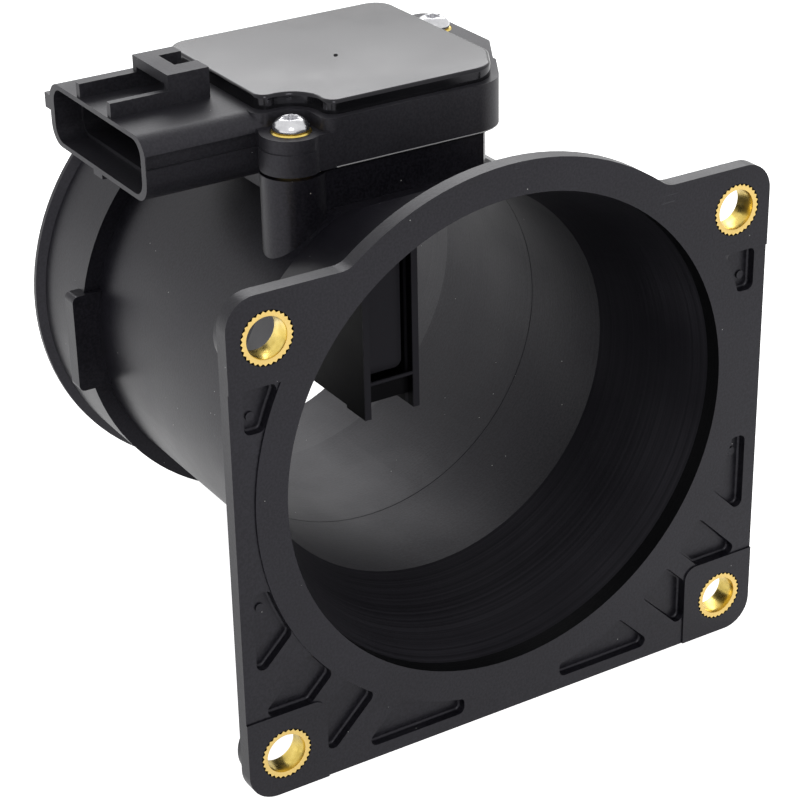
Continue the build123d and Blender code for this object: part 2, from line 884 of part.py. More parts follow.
for place, (screw_x, screw_y) in (("front", front_screw), ("rear", rear_screw)):
    with BuildPart() as ear_bush:
        with BuildSketch(Plane.XY.offset(seat_height)):
            with Locations((screw_x, screw_y)):
                Circle(ear_bush_outer / 2)
                Circle(ear_bush_bore / 2, mode=Mode.SUBTRACT)
        extrude(amount=ear_bush_top - seat_height)
        chamfer(ear_bush.edges().group_by(Axis.Z)[-1], bush_chamfer)
    finish(ear_bush, f"ear_bush_{place}")

    with BuildPart() as head_screw:
        with BuildSketch(Plane.XZ.offset(-screw_y)):
            with BuildLine():
                rim = (screw_x + screw_head / 2, ear_bush_top + screw_head_rim)
                shoulder = (
                    screw_x + screw_head / 2 * screw_dome_out,
                    ear_bush_top + screw_head_height * screw_dome_up,
                )
                flat = (screw_x + screw_drive_radius, ear_bush_top + screw_head_height)
                ThreePointArc(rim, shoulder, flat)
                Polyline(
                    flat,
                    (screw_x, ear_bush_top + screw_head_height),
                    (screw_x, ear_bush_top - screw_length),
                    (screw_x + screw_thread / 4, ear_bush_top - screw_length),
                    (screw_x + screw_thread / 2, ear_bush_top - screw_length + screw_thread / 2),
                    (screw_x + screw_thread / 2, ear_bush_top),
                    (screw_x + screw_head / 2 - bush_chamfer, ear_bush_top),
                    (screw_x + screw_head / 2, ear_bush_top + bush_chamfer),
                    rim,
                )
            make_face()
        revolve(axis=Axis((screw_x, screw_y, 0), (0, 0, 1)))
        with BuildSketch(Plane.XY.offset(ear_bush_top + screw_head_height)):
            with Locations((screw_x, screw_y)):
                add(drive_plan())
        extrude(amount=-screw_drive_depth, mode=Mode.SUBTRACT)
    finish(head_screw, f"head_screw_{place}")

# ------------------------------------------------------------------ connector terminals
# Flat blades in the socket that pass through its floor and turn up into the circuit board.
for index, row in enumerate(terminal_rows()):
    with BuildPart() as terminal:
        with BuildSketch(Plane.XZ.offset(-row)):
            with BuildLine():
                low = terminal_height - terminal_thickness / 2
                high = terminal_height + terminal_thickness / 2
                Polyline(
                    (terminal_tip, low),
                    (terminal_bend, low),
                    (terminal_bend, board_top + terminal_rise),
                    (terminal_bend - terminal_thickness, board_top + terminal_rise),
                    (terminal_bend - terminal_thickness, high),
                    (terminal_tip, high),
                    close=True,
                )
            make_face()
        extrude(amount=terminal_width / 2, both=True)
        tip_sides = terminal.faces().sort_by(Axis.X)[0].edges().filter_by(Axis.Z)
        chamfer(tip_sides, terminal_width / 4, terminal_width / 2.5)
    finish(terminal, f"terminal_{index + 1}")

# ------------------------------------------------------------------ circuit board and its parts
with BuildPart() as circuit_board:
    with BuildSketch(Plane.XY.offset(board_height)):
        add(cover_plan(head_wall + board_gap))
        with Locations(*[(terminal_bend - terminal_thickness / 2, row) for row in terminal_rows()]):
            Rectangle(
                terminal_thickness + 2 * hole_gap, terminal_width + 2 * hole_gap, mode=Mode.SUBTRACT
            )
        with Locations(*post_points):
            Circle(post_radius + hole_gap, mode=Mode.SUBTRACT)
        with Locations(*lead_points):
            Circle(bead_lead_radius + hole_gap, mode=Mode.SUBTRACT)
    extrude(amount=board_thickness)
finish(circuit_board, "circuit_board")

chip_length, chip_width, chip_height = chip_size
with BuildPart() as signal_chip:
    with BuildSketch(Plane.XY.offset(board_top)):
        with Locations(chip_middle):
            with GridLocations(chip_leg_pitch, 0, chip_legs, 1):
                Rectangle(chip_leg_width, chip_width + 2 * chip_leg_reach)
    extrude(amount=chip_height / 3)
    with BuildSketch(Plane.XY.offset(board_top)):
        with Locations(chip_middle):
            Rectangle(chip_length, chip_width)
    extrude(amount=chip_height)
finish(signal_chip, "signal_chip")

regulator_length, regulator_width, regulator_height = regulator_size
with BuildPart() as regulator:
    with BuildSketch(Plane.XY.offset(board_top)):
        with Locations(regulator_middle):
            Rectangle(regulator_length, regulator_width)
    extrude(amount=regulator_height)
    with BuildSketch(Plane.XY.offset(board_top)):
        with Locations(regulator_middle):
            Rectangle(regulator_tab_width, regulator_width + 2 * regulator_tab)
    extrude(amount=regulator_height / 3)
finish(regulator, "regulator")

capacitor_width, capacitor_length, capacitor_height = capacitor_size
for index in range(capacitor_count):
    with BuildPart() as capacitor:
        with BuildSketch(Plane.XY.offset(board_top)):
            with Locations((capacitor_x, capacitor_first_y + index * capacitor_pitch)):
                Rectangle(capacitor_width, capacitor_length)
        extrude(amount=capacitor_height)
        fillet(capacitor.edges().filter_by(Axis.X), capacitor_edge)
    finish(capacitor, f"capacitor_{index + 1}")

# ------------------------------------------------------------------ sensing elements
with BuildPart() as element_carrier:
    with BuildSketch(Plane.XY.offset(crown_inner)):
        bar_2d(
            -cable_slot_width / 2 + fit_gap,
            cable_slot_width / 2 - fit_gap,
            cable_slot_front + fit_gap,
            cable_slot_back - fit_gap,
        )
    extrude(amount=cavity_floor - crown_inner)
    with BuildSketch(Plane.XY.offset(cavity_floor)):
        bar_2d(
            -cable_slot_width / 2 - carrier_flange,
            cable_slot_width / 2 + carrier_flange,
            cable_slot_front - carrier_flange,
            cable_slot_back + carrier_flange,
        )
    extrude(amount=carrier_flange)
    with BuildSketch(Plane.XY.offset(crown_inner)):
        with Locations(*post_points):
            Circle(post_radius + insert_gap)
    extrude(amount=cavity_floor + carrier_flange - crown_inner, mode=Mode.SUBTRACT)
finish(element_carrier, "element_carrier")

for index, (post_x, post_y) in enumerate(post_points):
    post_low = hot_post_low if index < 2 else cold_post_low
    with BuildPart() as element_post:
        with BuildSketch(Plane.XY.offset(post_low)):
            with Locations((post_x, post_y)):
                Circle(post_radius)
        extrude(amount=board_top + post_rise - post_low)
    finish(element_post, f"element_post_{index + 1}")

for name, row, low in (("hot_wire", post_front_y, hot_post_low), ("cold_wire", post_rear_y, cold_post_low)):
    with BuildPart() as element:
        height = low + 2 * element_radius
        half_span = post_spread / 2 - post_radius - element_gap
        with BuildSketch(Plane.YZ.offset(-half_span)):
            with Locations((row, height)):
                Circle(element_lead_radius)
        extrude(amount=2 * half_span)
        with BuildSketch(Plane.YZ.offset(-element_length / 2)):
            with Locations((row, height)):
                Circle(element_radius)
        extrude(amount=element_length)
    finish(element, name)

# air temperature sensor: a glass bead on two leads that hang behind the probe
with BuildPart() as air_temp_sensor:
    with BuildSketch(Plane.XY.offset(bead_height)):
        with Locations(*lead_points):
            Circle(bead_lead_radius)
    extrude(amount=board_top + post_rise - bead_height)
    with BuildSketch(Plane.XZ.offset(-bead_y)):
        with BuildLine():
            Line((0, bead_height - bead_radius), (0, bead_height + bead_radius))
            ThreePointArc(
                (0, bead_height + bead_radius),
                (bead_radius, bead_height),
                (0, bead_height - bead_radius),
            )
        make_face()
    revolve(axis=Axis((0, bead_y, 0), (0, 0, 1)))
finish(air_temp_sensor, "air_temp_sensor")
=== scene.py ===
import bpy
from math import atan2, pi, radians
from mathutils import Euler, Matrix, Vector


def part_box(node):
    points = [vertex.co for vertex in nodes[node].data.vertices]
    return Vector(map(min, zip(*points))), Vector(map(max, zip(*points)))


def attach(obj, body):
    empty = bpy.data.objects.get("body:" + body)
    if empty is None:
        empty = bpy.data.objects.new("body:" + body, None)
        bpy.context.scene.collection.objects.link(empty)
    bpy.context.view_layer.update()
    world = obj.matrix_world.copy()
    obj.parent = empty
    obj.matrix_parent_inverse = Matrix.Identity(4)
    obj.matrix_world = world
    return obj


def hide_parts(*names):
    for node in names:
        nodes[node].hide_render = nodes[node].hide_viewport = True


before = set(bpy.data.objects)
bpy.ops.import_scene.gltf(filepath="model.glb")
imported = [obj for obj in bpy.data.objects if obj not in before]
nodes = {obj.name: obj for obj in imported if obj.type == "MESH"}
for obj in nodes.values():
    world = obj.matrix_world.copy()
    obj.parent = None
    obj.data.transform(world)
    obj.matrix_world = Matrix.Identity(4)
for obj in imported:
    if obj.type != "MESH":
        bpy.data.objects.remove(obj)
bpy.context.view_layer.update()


# ---------------------------------------------------------------- camera
# The camera looks down at the flange's face from the front left, through a long lens
# that keeps the flange's opposite edges nearly parallel.
camera_place = Vector((-0.20881, -0.30495, 0.19330))
camera_yaw = -0.5472
camera_pitch = -0.4653
camera_roll = -0.0207
lens_mm = 108.15
sensor_mm = 36.0
nearest_seen = 0.01

camera_data = bpy.data.cameras.new("camera")
camera_data.lens = lens_mm
camera_data.sensor_width = sensor_mm
camera_data.clip_start = nearest_seen
camera = bpy.data.objects.new("camera", camera_data)
bpy.context.scene.collection.objects.link(camera)
aim = Euler((pi / 2 + camera_pitch, 0, camera_yaw), "XYZ").to_matrix()
roll = Matrix.Rotation(camera_roll, 3, "Z")
camera.matrix_world = Matrix.Translation(camera_place) @ (aim @ roll).to_4x4()
bpy.context.scene.camera = camera


# ---------------------------------------------------------------- floor
# A plain white table. The part lies on its flange's lower back edge and on the hose collar's lip,
# which leans the bore by some six degrees, so the table slopes up to the back in the part's frame.
mm = 0.001
flange_foot_y = 3.0 * mm
flange_foot_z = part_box("tube_housing")[0][2]
lip_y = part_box("tube_housing")[1][1]
lip_z = -45.7 * mm
floor_tilt = atan2(lip_z - flange_foot_z, lip_y - flange_foot_y)
floor_size = 8.0
floor_glow = 0.56
floor_camera_glow = 0.4
floor_white = (0.93, 0.93, 0.93, 1)
plain_white = (1, 1, 1, 1)


def add_node(tree, kind, place, **settings):
    """A new node at a place in the tree, with its plain settings."""
    made = tree.nodes.new(kind)
    made.location = place
    for setting, value in settings.items():
        setattr(made, setting, value)
    return made


def feed(tree, socket, value):
    """Links a socket to what feeds it, or sets it to a plain number or colour."""
    if isinstance(value, (int, float, tuple)):
        socket.default_value = value
    else:
        tree.links.new(value, socket)


def maths(tree, place, operation, *values):
    """One sum on up to three values, each a socket or a number."""
    step = add_node(tree, "ShaderNodeMath", place, operation=operation)
    for socket, value in zip(step.inputs, values):
        feed(tree, socket, value)
    return step.outputs[0]


def material_nodes(name):
    """A new material's tree with its output node, ready for its shader."""
    material = bpy.data.materials.new(name)
    material.use_nodes = True
    tree = material.node_tree
    tree.nodes.clear()
    output = add_node(tree, "ShaderNodeOutputMaterial", (900, 0))
    return material, tree, output


def seen_directly(tree):
    """A mask that is 1 for what the camera, a reflection or clear plastic sees, and 0 for lighting."""
    path = add_node(tree, "ShaderNodeLightPath", (-900, 0))
    by_eye = path.outputs["Is Camera Ray"]
    mirrored = path.outputs["Is Glossy Ray"]
    either = maths(tree, (-700, 0), "MAXIMUM", by_eye, mirrored)
    return maths(tree, (-500, 0), "MAXIMUM", either, path.outputs["Is Transmission Ray"])


bpy.ops.object.select_all(action="DESELECT")
bpy.ops.mesh.primitive_plane_add(
    size=floor_size, location=(0, flange_foot_y, flange_foot_z), rotation=(floor_tilt, 0, 0)
)
floor = bpy.context.object
floor.name = "floor"
floor_paint, floor_tree, floor_output = material_nodes("floor_paint")
floor_matte = add_node(floor_tree, "ShaderNodeBsdfDiffuse", (300, 150))
floor_matte.inputs["Color"].default_value = floor_white
floor_light = add_node(floor_tree, "ShaderNodeEmission", (300, -100))
floor_light.inputs["Color"].default_value = plain_white
floor_lift = maths(floor_tree, (-250, 0), "MULTIPLY", seen_directly(floor_tree), floor_glow)
floor_path = add_node(floor_tree, "ShaderNodeLightPath", (-250, -250))
floor_by_eye = floor_path.outputs["Is Camera Ray"]
floor_strength = maths(
    floor_tree, (50, -100), "MULTIPLY_ADD", floor_by_eye, floor_camera_glow, floor_lift
)
floor_tree.links.new(floor_strength, floor_light.inputs["Strength"])
floor_sum = add_node(floor_tree, "ShaderNodeAddShader", (600, 0))
floor_tree.links.new(floor_matte.outputs[0], floor_sum.inputs[0])
floor_tree.links.new(floor_light.outputs[0], floor_sum.inputs[1])
floor_tree.links.new(floor_sum.outputs[0], floor_output.inputs["Surface"])
floor.data.materials.append(floor_paint)


# ---------------------------------------------------------------- light
# A white tent all round, a broad soft lamp over the front left, and a long soft lamp
# behind and above, which the lid and the tops of the mouldings mirror.
tent_light = 0.55
tent_seen = 1.0
# each lamp's name, place, aim, width, height and watts
lamps = (
    ("front_lamp", (-0.52, -1.0, 0.95), (0, 0.03, 0), 0.4, 0.9, 5.0),
    ("back_lamp", (0.50, 0.85, 0.62), (0, 0.05, 0.05), 1.1, 0.5, 4.3),
)


def tent_wall(tree, place, strength):
    """Plain white all round, at a strength."""
    wall = add_node(tree, "ShaderNodeBackground", place)
    wall.inputs["Color"].default_value = plain_white
    wall.inputs["Strength"].default_value = strength
    return wall.outputs[0]


bpy.context.scene.view_settings.view_transform = "Standard"
world = bpy.data.worlds.new("white_tent")
bpy.context.scene.world = world
world.use_nodes = True
world_tree = world.node_tree
world_tree.nodes.clear()
world_output = add_node(world_tree, "ShaderNodeOutputWorld", (400, 0))
tent_mix = add_node(world_tree, "ShaderNodeMixShader", (150, 0))
world_tree.links.new(seen_directly(world_tree), tent_mix.inputs[0])
world_tree.links.new(tent_wall(world_tree, (-150, -100), tent_light), tent_mix.inputs[1])
world_tree.links.new(tent_wall(world_tree, (-150, -300), tent_seen), tent_mix.inputs[2])
world_tree.links.new(tent_mix.outputs[0], world_output.inputs["Surface"])

for lamp_name, lamp_place, lamp_aim, lamp_width, lamp_height, lamp_watts in lamps:
    lamp_data = bpy.data.lights.new(lamp_name, "AREA")
    lamp_data.shape = "RECTANGLE"
    lamp_data.size = lamp_width
    lamp_data.size_y = lamp_height
    lamp_data.energy = lamp_watts
    lamp = bpy.data.objects.new(lamp_name, lamp_data)
    bpy.context.scene.collection.objects.link(lamp)
    lamp.location = lamp_place
    lamp_way = Vector(lamp_aim) - Vector(lamp_place)
    lamp.rotation_euler = lamp_way.to_track_quat("-Z", "Y").to_euler()
    lamp.visible_camera = False


# ---------------------------------------------------------------- air tube
# The body is one moulding in black glass-filled nylon: the flange that bolts to the filter box,
# the bell mouth and measuring bore, the seat for the sensor head, and the collar for the air hose.
# Its core is turned, which leaves faint rings in the bore, and its corners are slightly round.
# how a moulding's facets are merged and its edges rounded
tube_edge_round = 0.25 * mm
sharp_angle = radians(32)
facet_merge = 0.002 * mm
facet_angle = radians(0.6)
same_place = 0.01 * mm
same_way = 0.99999
flat_face_weight = 80
# where the bore's slope changes, at the ends of its land, flare, throat and diffuser; the core's
# two halves met at the throat's end
mouth_land_end = 3.3 * mm
flare_end = 27.0 * mm
core_joint_y = 49.4 * mm
diffuser_end = 81.3 * mm
bore_creases = (mouth_land_end, flare_end, core_joint_y, diffuser_end)
core_joint_width = 0.2 * mm
core_joint_reach = 39.5 * mm
core_joint_step = 0.12 * mm
# the crown is level over the throat and slopes up over the flare
crown_ramp = 0.49
crown_flats = (Vector((0, 0, 1)), Vector((0, crown_ramp, 1)).normalized())
# the plastic's finish, outside and then in the bore, whose wall faces back towards the axis
tube_black = (0.0012, 0.0011, 0.0022, 1)
tube_grey = (0.0128, 0.0122, 0.0165, 1)
plain_shine = 0.5
bore_reach = 45.2 * mm
bore_facing = -10.0 * mm
bore_dulling = 0.14
ring_scale = 1800.0
ring_range = (0.35, 0.7)
# painted shade and sheen on the flare
flare_shade_black = (0.0035, 0.0033, 0.0048, 1)
flare_sheen_grey = (0.019, 0.0182, 0.0225, 1)
flare_cloud_scale = 22.0
flare_cloud_range = (0.35, 0.65)
# painted shade on the mouth's land, which also gets a lower specular level
land_shade_black = (0.0015, 0.0016, 0.002, 1)
land_shine = 0.12


def softened(node, name, edge_round, creases=(), flats=()):
    """Copies a moulding's mesh, merges its facets into whole faces and rounds its sharp edges.
    The creases are places along Y where a slight bend stays crisp, and flats are the ways that
    flats on the curved wall face, whose borders stay crisp too."""
    piece = bpy.data.objects.new(name, node.data.copy())
    bpy.context.scene.collection.objects.link(piece)
    piece.data.materials.clear()
    bpy.ops.object.select_all(action="DESELECT")
    piece.select_set(True)
    bpy.context.view_layer.objects.active = piece
    bpy.ops.mesh.customdata_custom_splitnormals_clear()
    bpy.ops.object.mode_set(mode="EDIT")
    bpy.ops.mesh.select_mode(type="FACE")
    bpy.ops.mesh.select_all(action="SELECT")
    bpy.ops.mesh.remove_doubles(threshold=facet_merge)
    bpy.ops.mesh.dissolve_limited(angle_limit=facet_angle)
    bpy.ops.object.mode_set(mode="OBJECT")
    rounding = piece.modifiers.new("edge_round", "BEVEL")
    rounding.width = edge_round
    rounding.segments = 2
    rounding.limit_method = "ANGLE"
    rounding.angle_limit = sharp_angle
    rounding.use_clamp_overlap = True
    rounding.miter_outer = "MITER_ARC"
    bpy.ops.object.modifier_apply(modifier=rounding.name)
    bpy.ops.object.shade_smooth_by_angle(angle=sharp_angle)
    for flat in flats:
        for face in piece.data.polygons:
            face.select = face.normal.dot(flat) > same_way
        bpy.ops.object.mode_set(mode="EDIT")
        bpy.ops.mesh.region_to_loop()
        bpy.ops.mesh.mark_sharp()
        bpy.ops.object.mode_set(mode="OBJECT")
    for edge in piece.data.edges:
        ends = [piece.data.vertices[number].co.y for number in edge.vertices]
        if any(max(abs(end - crease) for end in ends) < same_place for crease in creases):
            edge.use_edge_sharp = True
    evening = piece.modifiers.new("even_shading", "WEIGHTED_NORMAL")
    evening.keep_sharp = True
    evening.weight = flat_face_weight
    bpy.ops.object.modifier_apply(modifier=evening.name)
    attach(piece, "root")
    return piece


def group_tree(name, takes, gives):
    """An empty node group: what it takes as (name, kind, default), what it gives as (name, kind)."""
    tree = bpy.data.node_groups.new(name, "ShaderNodeTree")
    for label, kind, default in takes:
        socket = tree.interface.new_socket(label, in_out="INPUT", socket_type=kind)
        socket.default_value = default
    for label, kind in gives:
        tree.interface.new_socket(label, in_out="OUTPUT", socket_type=kind)
    entry = add_node(tree, "NodeGroupInput", (-900, 0))
    leave = add_node(tree, "NodeGroupOutput", (900, 0))
    return tree, entry, leave


def noise(tree, place, source, scale, detail=2.0, stretch=None):
    """Noise on a vector, stretched first where asked."""
    if stretch:
        mapping = add_node(tree, "ShaderNodeMapping", (place[0] - 200, place[1]))
        mapping.inputs["Scale"].default_value = stretch
        tree.links.new(source, mapping.inputs["Vector"])
        source = mapping.outputs[0]
    texture = add_node(tree, "ShaderNodeTexNoise", place)
    texture.inputs["Scale"].default_value = scale
    texture.inputs["Detail"].default_value = detail
    tree.links.new(source, texture.inputs["Vector"])
    return texture.outputs["Fac"]


def remap(tree, place, source, low, high, to_low=0.0, to_high=1.0):
    """A value carried from one range to another, held at its ends."""
    step = add_node(tree, "ShaderNodeMapRange", place, clamp=True)
    ends = {"From Min": low, "From Max": high, "To Min": to_low, "To Max": to_high}
    for label, value in ends.items():
        step.inputs[label].default_value = value
    tree.links.new(source, step.inputs["Value"])
    return step.outputs[0]


def bump(tree, place, height, depth, strength=1.0):
    """Relief from a height, as deep as asked where the height goes from 0 to 1."""
    relief = add_node(tree, "ShaderNodeBump", place)
    relief.inputs["Strength"].default_value = strength
    relief.inputs["Distance"].default_value = depth
    tree.links.new(height, relief.inputs["Height"])
    return relief


def blend_colours(tree, place, factor, first, second):
    """Two colours mixed by a mask, each a socket or a colour."""
    step = add_node(tree, "ShaderNodeMix", place, data_type="RGBA")
    tree.links.new(factor, step.inputs["Factor"])
    colour_inputs = [socket for socket in step.inputs if socket.type == "RGBA"]
    for socket, value in zip(colour_inputs, (first, second)):
        feed(tree, socket, value)
    return next(socket for socket in step.outputs if socket.type == "RGBA")


def paint_over(tree, place, skin, mask, colour):
    """Lays a colour over the one that a shader has so far, where the mask is 1."""
    base = skin.inputs["Base Color"]
    under = base.links[0].from_socket
    tree.links.new(blend_colours(tree, place, mask, under, colour), base)


# Mould grain: the fine spark-eroded skin and the paler glass flecks of a filled plastic, and the
# broad soft clouds in its colour and its sheen.
fleck_scale = 2200.0
fleck_range = (0.38, 0.62)
fleck_share = 0.6
cloud_scale = 55.0
cloud_range = (0.3, 0.7)
cloud_share = 0.4
sheen_change = 0.05

grain_tree, grain_in, grain_out = group_tree(
    "mould_grain",
    (
        ("Vector", "NodeSocketVector", (0, 0, 0)),
        ("Dark", "NodeSocketColor", tube_black),
        ("Pale", "NodeSocketColor", tube_grey),
        ("Roughness", "NodeSocketFloat", 0.45),
    ),
    (("Color", "NodeSocketColor"), ("Roughness", "NodeSocketFloat"), ("Height", "NodeSocketFloat")),
)
grain_place = grain_in.outputs["Vector"]
grain_fleck = noise(grain_tree, (-500, 200), grain_place, fleck_scale, detail=3.0)
grain_cloud = noise(grain_tree, (-500, -50), grain_place, cloud_scale, detail=4.0)
flecks = remap(grain_tree, (-300, 250), grain_fleck, *fleck_range)
clouds = remap(grain_tree, (-300, -50), grain_cloud, *cloud_range)
fleck_part = maths(grain_tree, (-100, 250), "MULTIPLY", flecks, fleck_share)
cloud_part = maths(grain_tree, (-100, 50), "MULTIPLY", clouds, cloud_share)
grain_mix = maths(grain_tree, (100, 200), "ADD", fleck_part, cloud_part)
grain_dark, grain_pale = grain_in.outputs["Dark"], grain_in.outputs["Pale"]
grain_colour = blend_colours(grain_tree, (300, 200), grain_mix, grain_dark, grain_pale)
sheen_clouds = remap(
    grain_tree, (0, -100), grain_cloud, *cloud_range, to_low=-sheen_change, to_high=sheen_change
)
grain_sheen = maths(grain_tree, (300, -100), "ADD", grain_in.outputs["Roughness"], sheen_clouds)
grain_tree.links.new(grain_colour, grain_out.inputs["Color"])
grain_tree.links.new(grain_sheen, grain_out.inputs["Roughness"])
grain_tree.links.new(grain_fleck, grain_out.inputs["Height"])

# Handling marks: stray specks of dust and short hairline scratches, as two masks.
speck_scale = 350.0
speck_cut = 0.55
scratch_scale = 30.0
scratch_stretch = (1.0, 6.0, 60.0)
scratch_width = 0.0025
scratch_patch_scale = 70.0
scratch_patch_cut = 0.745
noise_middle = 0.5

marks_tree, marks_in, marks_out = group_tree(
    "handling_marks",
    (("Vector", "NodeSocketVector", (0, 0, 0)), ("Speck Size", "NodeSocketFloat", 0.03)),
    (("Specks", "NodeSocketFloat"), ("Scratches", "NodeSocketFloat")),
)
marks_place = marks_in.outputs["Vector"]
speck_cells = add_node(marks_tree, "ShaderNodeTexVoronoi", (-500, 250))
speck_cells.inputs["Scale"].default_value = speck_scale
marks_tree.links.new(marks_place, speck_cells.inputs["Vector"])
speck_pick = add_node(marks_tree, "ShaderNodeSeparateColor", (-300, 350))
marks_tree.links.new(speck_cells.outputs["Color"], speck_pick.inputs[0])
from_speck, speck_size = speck_cells.outputs["Distance"], marks_in.outputs["Speck Size"]
speck_round = maths(marks_tree, (-100, 250), "LESS_THAN", from_speck, speck_size)
speck_few = maths(marks_tree, (-100, 400), "GREATER_THAN", speck_pick.outputs[0], speck_cut)
specks = maths(marks_tree, (200, 300), "MULTIPLY", speck_round, speck_few)
marks_tree.links.new(specks, marks_out.inputs["Specks"])

scratch_lines = noise(
    marks_tree, (-500, -150), marks_place, scratch_scale, detail=1.0, stretch=scratch_stretch
)
off_line = maths(marks_tree, (-350, -150), "SUBTRACT", scratch_lines, noise_middle)
from_line = maths(marks_tree, (-250, -150), "ABSOLUTE", off_line)
scratch_band = maths(marks_tree, (-100, -150), "LESS_THAN", from_line, scratch_width)
scratch_patches = noise(marks_tree, (-400, -350), marks_place, scratch_patch_scale, detail=0.0)
scratch_few = maths(marks_tree, (-100, -350), "GREATER_THAN", scratch_patches, scratch_patch_cut)
scratches = maths(marks_tree, (200, -200), "MULTIPLY", scratch_band, scratch_few)
marks_tree.links.new(scratches, marks_out.inputs["Scratches"])

dust_white = (0.42, 0.42, 0.41, 1)
scratch_grey = (0.03, 0.03, 0.034, 1)
cool_tint = (0.93, 0.91, 1.0, 1)


def place_group(tree, group, place, vector, **values):
    """A node group in a material, fed with the piece's coordinates and its own values."""
    step = add_node(tree, "ShaderNodeGroup", place, node_tree=group)
    tree.links.new(vector, step.inputs["Vector"])
    for label, value in values.items():
        step.inputs[label.replace("_", " ")].default_value = value
    return step


def moulded_plastic(name, dark, pale, roughness, grain_height, speck_size, shine=1.4):
    """Moulded plastic with its grain, specks and scratches. It gives its nodes too, to be added to."""
    material, tree, output = material_nodes(name)
    skin = add_node(tree, "ShaderNodeBsdfPrincipled", (600, 0))
    skin.inputs["IOR"].default_value = shine
    skin.inputs["Specular Tint"].default_value = cool_tint
    place = add_node(tree, "ShaderNodeTexCoord", (-900, 0))
    spot = place.outputs["Object"]
    grain = place_group(
        tree, grain_tree, (-600, 150), spot, Dark=dark, Pale=pale, Roughness=roughness
    )
    marks = place_group(tree, marks_tree, (-600, -200), spot, Speck_Size=speck_size)
    tree.links.new(grain.outputs["Color"], skin.inputs["Base Color"])
    paint_over(tree, (-200, 200), skin, marks.outputs["Scratches"], scratch_grey)
    paint_over(tree, (50, 200), skin, marks.outputs["Specks"], dust_white)
    tree.links.new(grain.outputs["Roughness"], skin.inputs["Roughness"])
    relief = bump(tree, (300, -200), grain.outputs["Height"], grain_height)
    tree.links.new(relief.outputs[0], skin.inputs["Normal"])
    tree.links.new(skin.outputs[0], output.inputs["Surface"])
    return material, tree, skin, place, grain, relief


tube_moulding = softened(
    nodes["tube_housing"], "tube_moulding", tube_edge_round, bore_creases, crown_flats
)
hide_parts("tube_housing")
tube_plastic, tube_tree, tube_skin, tube_place, tube_grain, tube_relief = moulded_plastic(
    "tube_plastic", tube_black, tube_grey,
    roughness=0.34, grain_height=0.02 * mm, speck_size=0.035, shine=1.37,
)
# rings left by the turned core: noise that depends only on how far from the bore's axis, and how
# far along it, a point lies
tube_spot = tube_place.outputs["Object"]
apart = add_node(tube_tree, "ShaderNodeSeparateXYZ", (-700, -500))
tube_tree.links.new(tube_spot, apart.inputs[0])
along = apart.outputs["Y"]
across = maths(tube_tree, (-500, -450), "POWER", apart.outputs["X"], 2.0)
upward = maths(tube_tree, (-500, -600), "POWER", apart.outputs["Z"], 2.0)
square_sum = maths(tube_tree, (-300, -500), "ADD", across, upward)
from_axis = maths(tube_tree, (-150, -500), "SQRT", square_sum)
ring_place = add_node(tube_tree, "ShaderNodeCombineXYZ", (0, -500))
tube_tree.links.new(from_axis, ring_place.inputs["X"])
tube_tree.links.new(along, ring_place.inputs["Y"])
rings = noise(tube_tree, (150, -500), ring_place.outputs[0], ring_scale, detail=3.0)
# the bore is what lies near the axis and faces it
flat_place = add_node(tube_tree, "ShaderNodeCombineXYZ", (-500, -800))
tube_tree.links.new(apart.outputs["X"], flat_place.inputs["X"])
tube_tree.links.new(apart.outputs["Z"], flat_place.inputs["Z"])
outwards = add_node(tube_tree, "ShaderNodeVectorMath", (-300, -800), operation="DOT_PRODUCT")
tube_tree.links.new(flat_place.outputs[0], outwards.inputs[0])
tube_tree.links.new(tube_place.outputs["Normal"], outwards.inputs[1])
inward = maths(tube_tree, (-100, -800), "LESS_THAN", outwards.outputs["Value"], bore_facing)
near_axis = maths(tube_tree, (0, -700), "LESS_THAN", from_axis, bore_reach)
in_bore = maths(tube_tree, (150, -700), "MULTIPLY", near_axis, inward)
bore_duller = maths(tube_tree, (150, 50), "MULTIPLY", in_bore, bore_dulling)
tube_sheen = maths(tube_tree, (300, 50), "ADD", tube_grain.outputs["Roughness"], bore_duller)
tube_tree.links.new(tube_sheen, tube_skin.inputs["Roughness"])
# painted shade and sheen: the flare behind the mouth gets its own dark tone, with the rings as soft
# pale streaks of painted sheen that come and go, and the short land before it is painted black with a
# lower specular level, as painted shade
before_throat = maths(tube_tree, (0, -1300), "LESS_THAN", along, flare_end)
on_flare = maths(tube_tree, (150, -1300), "MULTIPLY", in_bore, before_throat)
flare_cloud = noise(tube_tree, (0, -900), tube_spot, flare_cloud_scale)
sheen_streaks = maths(
    tube_tree, (300, -650), "MULTIPLY",
    remap(tube_tree, (200, -600), rings, *ring_range),
    remap(tube_tree, (200, -750), flare_cloud, *flare_cloud_range),
)
flare_shade_and_sheen = blend_colours(tube_tree, (350, -800), sheen_streaks, flare_shade_black, flare_sheen_grey)
paint_over(tube_tree, (250, 350), tube_skin, on_flare, flare_shade_and_sheen)
before_flare = maths(tube_tree, (0, -1150), "LESS_THAN", along, mouth_land_end)
on_land = maths(tube_tree, (150, -1150), "MULTIPLY", in_bore, before_flare)
paint_over(tube_tree, (400, 350), tube_skin, on_land, land_shade_black)
tube_shine = remap(tube_tree, (400, 150), on_land, 0.0, 1.0, plain_shine, land_shine)
tube_tree.links.new(tube_shine, tube_skin.inputs["Specular IOR Level"])
ring_height = maths(tube_tree, (300, -500), "MULTIPLY", rings, in_bore)
both_heights = maths(tube_tree, (300, -350), "ADD", tube_grain.outputs["Height"], ring_height)
tube_tree.links.new(both_heights, tube_relief.inputs["Height"])
